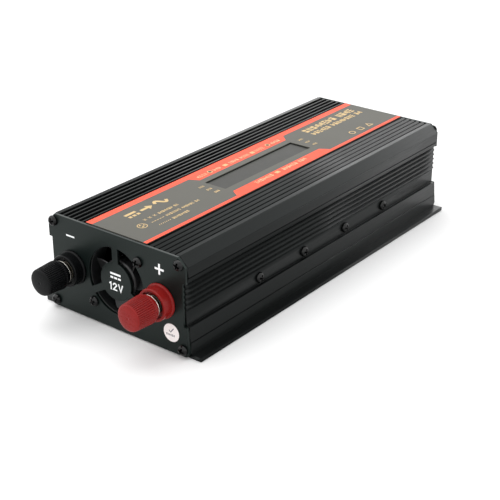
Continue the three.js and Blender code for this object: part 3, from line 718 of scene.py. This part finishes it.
class INVERTER_OT_label(PieceOperator):
    """Adds the grey label film with its stripes and print"""
    bl_idname = "inverter.label"
    bl_label = "Label"

    def make(self, sizes, colours):
        shape = merged_copy("label_panel")
        for vert in shape.verts:
            if vert.co.z > (LABEL_LOW.z + LABEL_HIGH.z) / 2 * MM:
                vert.co.z = FILM_TOP * MM
        film = piece_of("label_film", shape, printed_film(colours))
        fit(film, "case", "label_film", "label_panel")
        gold = screen_ink("gold", colours.gold)
        self.stripes(colours)
        self.title(gold)
        self.stripe_signs(gold)
        self.small_print(gold)

    def stripes(self, colours):
        """Two stripes along the label's long edges, wider beside the window."""
        left, right, half = LABEL_LOW.x, LABEL_HIGH.x, LABEL_HIGH.y
        outlines = (
            [(left, -half), (-16.5, -half), (-16.5, -42.8), (-11, -39.8), (-11, 39.8),
             (-16.5, 44.6), (-16.5, half), (left, half)],
            [(right, -half), (right, half), (18.5, half), (18.5, 43.6), (13, 40.1),
             (13, -40.5), (18.5, -44.1), (18.5, -half)],
        )
        shape = bmesh.new()
        for outline in outlines:
            prism(shape, outline, lambda u, v, h: (u, v, h), STRIPE_INK)
        fit(piece_of("label_stripes", shape, screen_ink("coral", colours.stripe)))

    def title(self, gold):
        """The signs printed on the film, in place of titles and symbols."""
        shape = bmesh.new()
        # direct current in, alternating current out
        put = on_label(-8.5, -86)
        wave = [(6.6 + 8.4 * i / 24, 2.3 * sin(tau * i / 24)) for i in range(25)]
        dashes = [[(start, -1.6), (start + 2, -1.6)] for start in (-15, -12, -9)]
        for line in ([(-15, 1.6), (-7, 1.6)], *dashes, [(-4.6, 0), (0.6, 0)], wave):
            stroke(shape, line, 1.8, put, FILM_PRINT)
        prism(shape, [(0.6, -2.6), (4.2, 0), (0.6, 2.6)], put, FILM_PRINT)
        # three plain signs beside the rear title
        signs = ((75.3, ring_points(1.9)), (84.4, oblong(-1.8, 1.8, -1.8, 1.8)),
                 (93.5, [(-2.1, -1.7), (2.1, -1.7), (0, 2)]))
        for place, outline in signs:
            stroke(shape, outline, 0.6, on_label(13, place), FILM_PRINT, True)
        # load signs before the three lines of small print: crosses, dashes and slanted ticks
        for place in (-97.7, -94, -90.3):
            for tilt in (-0.85, 0.85):
                stroke(shape, [(-0.8, -tilt), (0.8, tilt)], 0.4, on_label(1, place), FILM_PRINT)
        for i in range(5):
            stroke(shape, [(-0.7, 0), (0.7, 0)], 0.45, on_label(6, -97.4 + 2 * i), FILM_PRINT)
        for i in range(7):
            stroke(shape, [(-0.25, -0.4), (0.25, 0.4)], 0.4, on_label(11, -97.6 + 1.35 * i),
                   FILM_PRINT)
        # a small fan sign at the front
        spot = on_label(5, -104.1)
        stroke(shape, ring_points(2.6), 0.45, spot, FILM_PRINT, True)
        for i in range(3):
            turn = tau * i / 3
            blade = [(radius * cos(turn + swing), radius * sin(turn + swing))
                     for radius, swing in ((0.4, 0), (1.9, 0.5), (1.9, -0.4))]
            prism(shape, blade, spot, FILM_PRINT)
        fit(piece_of("label_title", shape, gold))

    def stripe_signs(self, gold):
        """Ringed dots and blocks on the stripes."""
        shape = bmesh.new()
        dots = bmesh.new()
        for y in (-26.9, 26.5):
            spot = on_label(-14.6, y)
            stroke(shape, ring_points(1.35), 0.6, spot, STRIPE_PRINT, True)
            prism(dots, ring_points(1.05, 16), spot, STRIPE_PRINT)
        for x, y in ((-14.2, -13.6), (-14.1, 11.2), (15.6, -4)):
            prism(shape, oblong(-1.6, 1.6, -1.2, 1.2), on_label(x, y), STRIPE_PRINT)
        fit(piece_of("stripe_signs", shape, gold))
        fit(piece_of("stripe_dots", dots, screen_ink("black", linear("#16140F"))))

    def small_print(self, gold):
        cream = screen_ink("cream", linear("#FFB08A"))
        lines = (
            (-87.5, -71.5, 1.0, 1.9), (-87, -61, 6.0, 1.9), (-87.5, -74, 11.0, 1.9),
            (-48.6, -44.0, -4.1, 1.6), (-48.3, -44.2, 1.1, 1.6), (-48, -44.2, 6.3, 1.6),
            (44.0, 48.4, -4.5, 1.6), (43.6, 47.6, 0.9, 1.6), (43.6, 47.6, 6.2, 1.6),
        )
        headings = ((58, 113, -10.4, 4.9), (58, 113, -4.0, 3.6))
        stripe_lines = (
            (-38, -30, -14.3, 2.5), (-24, -17, -14.3, 2.5), (-10, 8, -14.3, 2.5),
            (14, 24, -14.3, 2.5), (29.5, 38, -14.3, 2.5),
            (-24, -8, 15.6, 2.7), (1, 24, 15.6, 2.7),
        )
        for name, rows, height, seed, weight, ink in (
                ("label_small_print", lines, FILM_TOP, 11, 0.17, gold),
                ("label_heading", headings, FILM_TOP, 5, 0.24, gold),
                ("stripe_print", stripe_lines, STRIPE_TOP, 23, 0.16, cream)):
            print_lines(name, rows, height, (0, 0, pi / 2), seed, weight, ink,
                        lambda y, x, h: (x, y, h))


class INVERTER_OT_display(PieceOperator):
    """Adds the display window and finishes the module under it"""
    bl_idname = "inverter.display"
    bl_label = "Display"

    def make(self, sizes, colours):
        softened("display_pane", "display_window", sizes.panel_edge, smoked_acrylic(colours),
                 "smoked_window")
        dress("display_module", textured_abs())


def dress(node, material):
    """Gives a CAD node that stays in sight its finish."""
    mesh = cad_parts[node].data
    mesh.materials.clear()
    mesh.materials.append(material)


def pan_head_screw(recess_width):
    """One screw, head towards -Y with its seat at y = 0: a domed head and a cross recess."""
    profile = eased([
        (0, -SCREW_HEAD), (1.2, -1.88, 0.4), (2.35, -1.45, 0.7), (2.9, -0.5, 0.5),
        (2.88, 0, 0.12), (1.05, 0, 0.1), (1.0, 9.6), (0, 10.6)])
    screw = piece_of("screw_blank", turned(profile, 40), None)
    cross = bmesh.new()
    wide = recess_width / MM / 2
    for along in (Vector((1, 0, 0)), Vector((0, 0, 1))):
        side = Vector((0, 1, 0)).cross(along)
        sweep(cross, [
            [Vector((0, y, 0)) + along * a * length + side * b * half
             for a, b in oblong(-1, 1, -1, 1)]
            for y, length, half in ((-2.4, 2.2, wide), (-SCREW_HEAD, 2, wide),
                                    (0.4, 0.6, wide * 0.7))])
    cutter = piece_of("screw_recess", cross, None)
    recess = screw.modifiers.new("Recess", "BOOLEAN")
    recess.operation = "DIFFERENCE"
    recess.solver = "EXACT"
    recess.use_self = True
    recess.object = cutter
    settle(screw)
    discard(cutter)
    screw.data.set_sharp_from_angle(angle=radians(35))
    return screw


class INVERTER_OT_screws(PieceOperator):
    """Adds the pan-head screws of the panels, the fan and the sides"""
    bl_idname = "inverter.screws"
    bl_label = "Screws"

    def make(self, sizes, colours):
        nodes = [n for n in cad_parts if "screw" in n]
        places = []
        inward = []
        for node in nodes:
            low, high = cad_box(node)
            place = (low + high) / 2
            axis = 0 if node.startswith("side_screw") else 1
            at_top = place.x > 0 if axis == 0 else node.startswith("rear")
            place[axis] = high[axis] - SCREW_HEAD if at_top else low[axis] + SCREW_HEAD
            aim = [0, 0, 0]
            aim[axis] = -1 if at_top else 1
            places.append(place)
            inward.append(aim)
        blank = pan_head_screw(sizes.recess_width)
        points = cloud("machine_screws", places, {"inward": ("FLOAT_VECTOR", inward)})
        screws = grown(points, screw_tree(), {
            "Screw": blank, "Seed": 4, "Material": black_zinc_steel(colours)})
        discard(blank)
        fit(screws, "case", "black_steel", *nodes)


class INVERTER_OT_battery_posts(PieceOperator):
    """Adds the two battery posts: collar, threaded stud, plated insert and fluted knob"""
    bl_idname = "inverter.battery_posts"
    bl_label = "Battery posts"

    def make(self, sizes, colours):
        flutes = flute_tree()
        for side, plastic, slot in (
                ("negative", moulded_nylon("black", colours.black_nylon, 0.08), "black_plastic"),
                ("positive", moulded_nylon("red", colours.red_nylon, 0.13), "red_plastic")):
            self.collar(side, plastic, slot)
            self.stud(side)
            self.insert(side)
            self.knob(side, plastic, slot, flutes, sizes)
            dress(f"{side}_post_nut", nickel_plate())
            dress(f"{side}_supply_strap", turned_metal(
                "Copper, tinned strip", "#B87B55", 0.25, 0.4))

    def collar(self, side, plastic, slot):
        node = f"{side}_post_collar"
        low, high = cad_box(node)
        back, rim, end = FRONT_FACE - 0.3, low.y, high.y
        profile = eased([
            (3.1, end), (5.6, end, 0.4), (5.6, back), (9.58, back, 0.1), (9.5, back - 0.9, 0.5),
            (8.88, back - 1.1, 0.25), (8.85, rim, 0.75), (7.2, rim + 0.02, 0.6),
            (7.1, rim + 2.6, 0.2), (3.1, rim + 2.6), (3.1, end)])
        seat_turned(piece_of(f"{node}_body", turned(profile, 64), plastic), "case", slot, node)

    def stud(self, side):
        low, high = cad_box(f"{side}_post_stud")
        seat = FRONT_FACE - 5.6
        thread = []
        y = low.y + 0.7
        while y < seat - 0.7:
            thread += [(2.68, y), (2.3, y + 0.5)]
            y += 1
        flange = eased([(2.5, seat), (5.2, seat, 0.25), (5.2, seat + 0.9), (2.6, seat + 0.9)])
        profile = [(0, low.y), (2.2, low.y), *thread, *flange, (2.6, high.y - 0.5),
                   (2.1, high.y), (0, high.y)]
        # The stud's dark nickel is painted shade for the post's recess.
        stud = piece_of(f"{side}_post_threaded_stud", turned(profile, 40), shade_darkened_nickel())
        seat_turned(stud, "case", "brass", f"{side}_post_stud")

    def insert(self, side):
        low, high = cad_box(f"{side}_post_insert")
        profile = eased([
            (3.1, low.y), (6.6, low.y, 0.12), (6.6, high.y, 0.2), (4.2, high.y, 0.1),
            (3.9, high.y - 0.2, 0.1), (3.1, high.y - 0.2), (3.1, low.y)])
        insert = piece_of(f"{side}_post_contact", turned(profile, 56), nickel_plate())
        seat_turned(insert, f"{side}_insert", "nickel_plate", f"{side}_post_insert")

    def knob(self, side, plastic, slot, flutes, sizes):
        low, high = cad_box(f"{side}_post_knob")
        face, back = low.y, high.y
        profile = eased([
            (0, face + 0.22), (0.45, face + 0.2, 0.2), (0.85, face, 0.25),
            (4.4, face + 0.12, 1.5), (7.25, face + 0.62, 1.15), (7.38, face + 2.1, 0.6),
            (7.92, back - 3.3, 0.8), (7.9, back - 2.35, 0.35), (6.9, back - 2.0, 0.25),
            (6.85, back, 0.25), (3.1, back, 0.2), (3.1, back - 12), (0, back - 12)], 5)
        shape = turned(divided(profile, 0.5), 8 * sizes.flute_count)
        knob = grown(piece_of(f"{side}_post_fluted_knob", shape, plastic), flutes, {
            "Flutes": sizes.flute_count, "Depth": sizes.flute_depth,
            "From": (face + 0.75) * MM, "To": (back - 2.5) * MM, "Fade": 0.6 * MM,
            "Core": 5 * MM, "Material": plastic})
        seat_turned(knob, f"{side}_knob", slot, f"{side}_post_knob")


class INVERTER_OT_fan(PieceOperator):
    """Adds the fan: its frame, and a rotor with curved blades"""
    bl_idname = "inverter.fan"
    bl_label = "Fan"

    def make(self, sizes, colours):
        plastic = glass_filled_pbt()
        softened("fan_housing", "fan_frame", sizes.plastic_edge, plastic, "fan_plastic")
        low, high = cad_box("fan_rotor")
        front = low.y
        hub = piece_of("fan_impeller", turned(eased([
            (0, front), (9.9, front, 0.6), (11, front + 0.9, 0.6), (11, front + 6.4, 0.3),
            (1.2, front + 6.6), (1.15, high.y - 0.1), (0, high.y - 0.1)]), 56), plastic)
        blade = self.blade(front + 3.4, plastic)
        rotor = grown(hub, blade_tree(), {
            "Blade": blade, "Blades": sizes.blade_count, "Material": plastic})
        discard(blade)
        seat_turned(rotor, "fan", "fan_plastic", "fan_rotor", beside="fan_frame")

    def blade(self, middle, plastic):
        """A cambered blade that twists flatter towards its tip."""
        root, tip, steps, halves = 10.4, 17.8, 8, 3
        sections = []
        for i in range(steps + 1):
            share = i / steps
            radius = root + (tip - root) * share
            pitch = radians(44 - 16 * share)
            chord = 7.2 + 2.2 * share
            rows = [], []
            for k in range(-halves, halves + 1):
                along = k / halves * chord / 2
                full = 1 - (k / halves) ** 2
                for row, side in zip(rows, (1, -1)):
                    rise = 0.7 * full + side * (0.28 + 0.24 * full)
                    across = along * cos(pitch) - rise * sin(pitch)
                    y = middle + along * sin(pitch) * 0.9 + rise * cos(pitch) * 0.6 - 0.3
                    turn = across / radius + 0.25 * share
                    row.append((radius * cos(turn), y, radius * sin(turn)))
            sections.append(rows[0] + rows[1][::-1])
        shape = bmesh.new()
        sweep(shape, sections)
        return piece_of("fan_blade", shape, plastic, crease=50)


class INVERTER_OT_front_marks(PieceOperator):
    """Adds the printed marks of the front panel and the inspection sticker"""
    bl_idname = "inverter.front_marks"
    bl_label = "Front marks"

    def make(self, sizes, colours):
        ink = sizes.ink / MM
        shape = bmesh.new()
        arm, half = 2.95, 0.575
        quarter = [(-half, -half), (-half, -arm), (half, -arm)]
        plus = []
        for _ in range(4):
            plus += quarter
            quarter = [(-v, u) for u, v in quarter]
        prism(shape, plus, on_front(30.1, 44.7), (0, ink))
        stroke(shape, [(-3, 0), (3, 0)], 0.9, on_front(-31.2, 45), (0, ink))
        self.rating(shape, (0, ink))
        fit(piece_of("front_print", shape, screen_ink("white", colours.white)))
        self.sticker(colours, ink)

    def rating(self, shape, layer):
        """The direct-current sign over the supply voltage, in plain strokes."""
        middle = cad_axis("fan_frame")[1]
        sign = on_front(0, middle + 3.2)
        for start, length, level in ((-3.6, 7.2, 1.1), (-3.6, 2, -1.1), (-1, 2, -1.1),
                                     (1.6, 2, -1.1)):
            stroke(shape, [(start, level), (start + length, level)], 1.1, sign, layer)
        bowl = [(-0.75 + 1.15 * cos(a), 2.9 + 1.15 * sin(a))
                for a in (pi - tau * 0.47 * i / 8 for i in range(9))]
        for digit in ([(-4.6, 3.3), (-3.5, 4.1), (-3.5, 0)],
                      [*bowl, (-1.9, 0.42), (0.75, 0.42)],
                      [(1.8, 4.4), (3.2, 0.3), (4.6, 4.4)]):
            stroke(shape, digit, 0.8, on_front(0, middle - 5.2), layer)

    def sticker(self, colours, ink):
        # Coated paper: a bright matt white with a faint tooth.
        paper = metal_or_plastic(
            "Paper, coated", colours.paper, {"IOR": 1.5, "Specular IOR Level": 0.3},
            period=1.5, share=0.03, grain=0.3, depth=0.01, low=0.45, high=0.6)
        low, high = cad_box("quality_sticker")
        profile = eased([(0, high.y), (5, high.y, 0.05), (5, low.y, 0.08), (0, low.y)])
        disc = piece_of("inspection_sticker", turned(profile, 72), paper)
        seat_turned(disc, "case", "sticker_paper", "quality_sticker")
        lift = FRONT_FACE - low.y
        put = on_front(*cad_axis("quality_sticker"))
        grey = screen_ink("grey", linear("#6E6A72"))
        shape = bmesh.new()
        stroke(shape, [(-1.5, 1.2), (-0.4, 0.3), (1.6, 2.8)], 0.5, put, (lift, lift + ink))
        fit(piece_of("sticker_tick", shape, grey))
        print_lines("sticker_print", [(-3.4, 3.4, -1.3, 1.15)], lift, (pi / 2, 0, 0), 7, 0.18,
                    grey, put)


class INVERTER_OT_outlet(PieceOperator):
    """Adds the AC outlet"""
    bl_idname = "inverter.outlet"
    bl_label = "AC outlet"

    def make(self, sizes, colours):
        softened("mains_outlet", "ac_outlet", sizes.plastic_edge, textured_abs(),
                 "socket_plastic")


class INVERTER_OT_switch(PieceOperator):
    """Adds the rocker switch and the marks on its rocker"""
    bl_idname = "inverter.switch"
    bl_label = "Rocker switch"

    def make(self, sizes, colours):
        plastic = textured_abs()
        softened("switch_frame", "switch_housing", sizes.plastic_edge, plastic, "socket_plastic")
        rocker = softened("switch_paddle", "switch_rocker", sizes.plastic_edge, plastic,
                          "socket_plastic", "rocker")
        x, z = cad_axis("switch_rocker")
        behind = cad_box("switch_rocker")[1].y + 5
        surface = BVHTree.FromObject(rocker, bpy.context.evaluated_depsgraph_get())

        def on_rocker(u, v, h):
            point = Vector((x - u, behind, z + v)) * MM
            hit, normal, _, _ = surface.ray_cast(point, Vector((0, -1, 0)))
            if hit is None:
                raise RuntimeError("a mark misses the rocker")
            return (hit + normal * h * MM) / MM

        layer = (-0.01, sizes.ink / MM)
        shape = bmesh.new()
        stroke(shape, [(0, 3.4), (0, 4.6), (0, 5.8)], 0.7, on_rocker, layer)
        stroke(shape, ring_points(1.2, v=-4.6), 0.55, on_rocker, layer, True)
        fit(piece_of("switch_marks", shape, screen_ink("white", colours.white)), "rocker")


class INVERTER_OT_usb_and_lamp(PieceOperator):
    """Adds the USB socket with its tongue, and the power lamp"""
    bl_idname = "inverter.usb_and_lamp"
    bl_label = "USB socket and lamp"

    def make(self, sizes, colours):
        softened("usb_shell", "usb_socket", sizes.panel_edge, nickel_plate(), "nickel_plate")
        x, z = cad_axis("usb_socket")
        mouth = cad_box("usb_socket")[1].y

        def in_socket(u, v, h):
            return x + u, mouth + h, z + v

        shape = bmesh.new()
        prism(shape, oblong(-5.3, 5.3, 0.35, 2.1), in_socket, (-11.5, -1.6))
        bmesh.ops.bevel(shape, geom=shape.edges, offset=0.2 * MM, segments=2, affect="EDGES",
                        clamp_overlap=True)
        nylon = moulded_nylon("white", linear("#D9DCDD"), 0.15)
        fit(piece_of("usb_tongue", shape, nylon, crease=60))
        shape = bmesh.new()
        for u in (-3.6, -1.2, 1.2, 3.6):
            prism(shape, oblong(u - 0.5, u + 0.5, 0.1, 0.4), in_socket, (-10, -2.2))
        fit(piece_of("usb_contacts", shape, turned_metal("Brass, drawn", "#C9A24A", 0.18, 0.32)))
        self.lamp()

    def lamp(self):
        # Clear green epoxy of a lamp that is off: a dark gloss with the colour inside.
        lens = finish_named("Epoxy lens, green", {
            "Base Color": opaque(linear("#2F8F3C")), "IOR": 1.56, "Roughness": 0.12,
            "Transmission Weight": 0.35, "Subsurface Weight": 0.3, "Subsurface Scale": 1 * MM})
        low, high = cad_box("power_lamp")
        dome = turned(eased([
            (0, low.y), (1.5, low.y), (1.5, high.y - 0.9, 0.2), (1.42, high.y - 0.35, 0.6),
            (0.7, high.y, 0.4), (0, high.y)]), 40)
        seat_turned(piece_of("status_lamp", dome, lens), "case", "lamp_lens", "power_lamp")


def laminate(tree):
    """Solder mask over copper: green, with raised copper about 3 mm across between gaps."""
    tint, place = varied(tree, linear("#1C5A34"), 6 * MM, 0.12)
    gaps = add(tree, "ShaderNodeTexVoronoi", {"Vector": place, "Scale": 1 / (3 * MM)},
               feature="DISTANCE_TO_EDGE", distance="MANHATTAN")
    raised = add(tree, "ShaderNodeMapRange", {
        "Value": gaps.outputs["Distance"], "From Min": 0.1, "From Max": 0.16})
    bump = add(tree, "ShaderNodeBump", {"Height": raised, "Distance": 0.035 * MM})
    return {"Base Color": tint, "Normal": bump}


def taped_core(tree):
    """Yellow polyester tape over the winding: overlapping turns with a fine edge every 2 mm."""
    tint, place = varied(tree, linear("#D6A81E"), 4 * MM, 0.08)
    # at a scale of 1 the texture has a band every tau / 20 metres
    turns = add(tree, "ShaderNodeTexWave", {
        "Vector": place, "Scale": tau / 20 / (2 * MM), "Distortion": 0.3},
        bands_direction="Z", wave_profile="SAW")
    bump = add(tree, "ShaderNodeBump", {"Height": turns.outputs["Fac"], "Distance": 0.08 * MM})
    return {"Base Color": tint, "Normal": bump}


class INVERTER_OT_inside(PieceOperator):
    """Finishes the board and what stands on it, as far as the openings show them"""
    bl_idname = "inverter.inside"
    bl_label = "Inside"

    def make(self, sizes, colours):
        board = finish_named("Glass-epoxy laminate, green mask", {"IOR": 1.55, "Roughness": 0.3},
                             laminate)
        core = finish_named("Polyester tape, yellow", {"IOR": 1.6, "Roughness": 0.28}, taped_core)
        # Transfer-moulded epoxy of a transistor: near-black, dull and faintly sandy.
        epoxy = metal_or_plastic(
            "Epoxy, transfer moulded", linear("#1A1B1C"), {"IOR": 1.55},
            period=2, share=0.15, grain=0.3, depth=0.015, low=0.4, high=0.55)
        # Bare aluminium bar: pale and satin, with die lines along it.
        bar = metal_or_plastic(
            "Aluminium, mill finish", linear("#B9BDC0"), {"Metallic": 1.0}, period=0.8,
            share=0.1, grain=0.3, depth=0.01, low=0.28, high=0.42, stretch=(1, 0.05, 1))
        # Shrunk PVC sleeve of a capacitor: dark blue, glossy, slightly wavy.
        sleeve = metal_or_plastic(
            "PVC sleeve, shrunk", linear("#1F2B4D"), {"IOR": 1.54},
            period=5, share=0.06, grain=1.2, depth=0.02, low=0.2, high=0.3)
        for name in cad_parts:
            for start, material in (
                    ("circuit_board", board), ("power_transistor", epoxy), ("clamp_bar", bar),
                    ("transformer", core), ("capacitor", sleeve)):
                if name.startswith(start):
                    dress(name, material)


class INVERTER_OT_stage(PieceOperator):
    """Adds the floor, the lights and the camera"""
    bl_idname = "inverter.stage"
    bl_label = "Stage"

    def make(self, sizes, colours):
        self.floor(colours)
        self.lights()
        self.camera()

    def floor(self, colours):
        # White sweep paper: matt, with no visible texture at this distance.
        paper = finish_named("Paper, white sweep", {
            "Base Color": opaque(colours.floor), "Roughness": 0.85, "Specular IOR Level": 0.1})
        shape = bmesh.new()
        just_below = -0.0002
        shape.faces.new([shape.verts.new((x, y, just_below)) for x, y in oblong(-4, 4, -4, 4)])
        piece_of("studio_floor", shape, paper)

    def lights(self):
        world = bpy.data.worlds.new("Studio")
        world.use_nodes = True
        tree = world.node_tree
        tree.nodes.clear()
        # The lit studio walls shine more in a gloss than they light the matt surfaces.
        ray = add(tree, "ShaderNodeLightPath")
        level = add(tree, "ShaderNodeMapRange", {
            "Value": ray.outputs["Is Glossy Ray"], "To Min": 1.0, "To Max": 2.3})
        sky = add(tree, "ShaderNodeBackground", {
            "Color": (1, 1, 1, 1), "Strength": level})
        add(tree, "ShaderNodeOutputWorld", {"Surface": sky})
        bpy.context.scene.world = world
        for name, place, side, watts in (("softbox_top", (-0.4, 0.2, 1.6), 1.6, 16),
                                         ("softbox_front", (-0.9, -1.4, 1.0), 1.0, 5)):
            light = bpy.data.lights.new(name, "AREA")
            light.shape = "SQUARE"
            light.size = side
            light.energy = watts
            softbox = placed_in_scene(name, light)
            softbox.location = place
            softbox.rotation_euler = (-Vector(place)).to_track_quat("-Z", "Y").to_euler()

    def camera(self):
        lens = bpy.data.cameras.new("camera")
        lens.sensor_width = 36
        lens.lens = 87.57
        lens.clip_start = 0.01
        camera = placed_in_scene("camera", lens)
        camera.location = (0.3912, -0.5122, 0.3100)
        forward = Vector((-0.5534, 0.7118, -0.4325))
        camera.rotation_euler = forward.to_track_quat("-Z", "Y").to_euler()
        bpy.context.scene.camera = camera
        bpy.context.scene.view_settings.view_transform = "Standard"


PIECES = (
    INVERTER_OT_case, INVERTER_OT_end_panels, INVERTER_OT_label, INVERTER_OT_display,
    INVERTER_OT_screws, INVERTER_OT_battery_posts, INVERTER_OT_fan, INVERTER_OT_front_marks,
    INVERTER_OT_outlet, INVERTER_OT_switch, INVERTER_OT_usb_and_lamp, INVERTER_OT_inside,
    INVERTER_OT_stage,
)


class INVERTER_PT_pieces(bpy.types.Panel):
    """Lists the pieces of the inverter"""
    bl_label = "Power inverter"
    bl_space_type = "VIEW_3D"
    bl_region_type = "UI"
    bl_category = "Inverter"

    def draw(self, context):
        for group in (context.scene.inverter_sizes, context.scene.inverter_colours):
            for label in group.bl_rna.properties.keys():
                if label not in ("rna_type", "name"):
                    self.layout.prop(group, label)
        for piece in PIECES:
            self.layout.operator(piece.bl_idname)


CLASSES = (InverterSizes, InverterColours, *PIECES, INVERTER_PT_pieces)


def register():
    for kind in CLASSES:
        bpy.utils.register_class(kind)
    bpy.types.Scene.inverter_sizes = bpy.props.PointerProperty(type=InverterSizes)
    bpy.types.Scene.inverter_colours = bpy.props.PointerProperty(type=InverterColours)


def unregister():
    del bpy.types.Scene.inverter_colours
    del bpy.types.Scene.inverter_sizes
    for kind in reversed(CLASSES):
        bpy.utils.unregister_class(kind)


def main():
    register()
    for piece in PIECES:
        space, name = piece.bl_idname.split(".")
        getattr(getattr(bpy.ops, space), name)()


if __name__ == "__main__":
    main()
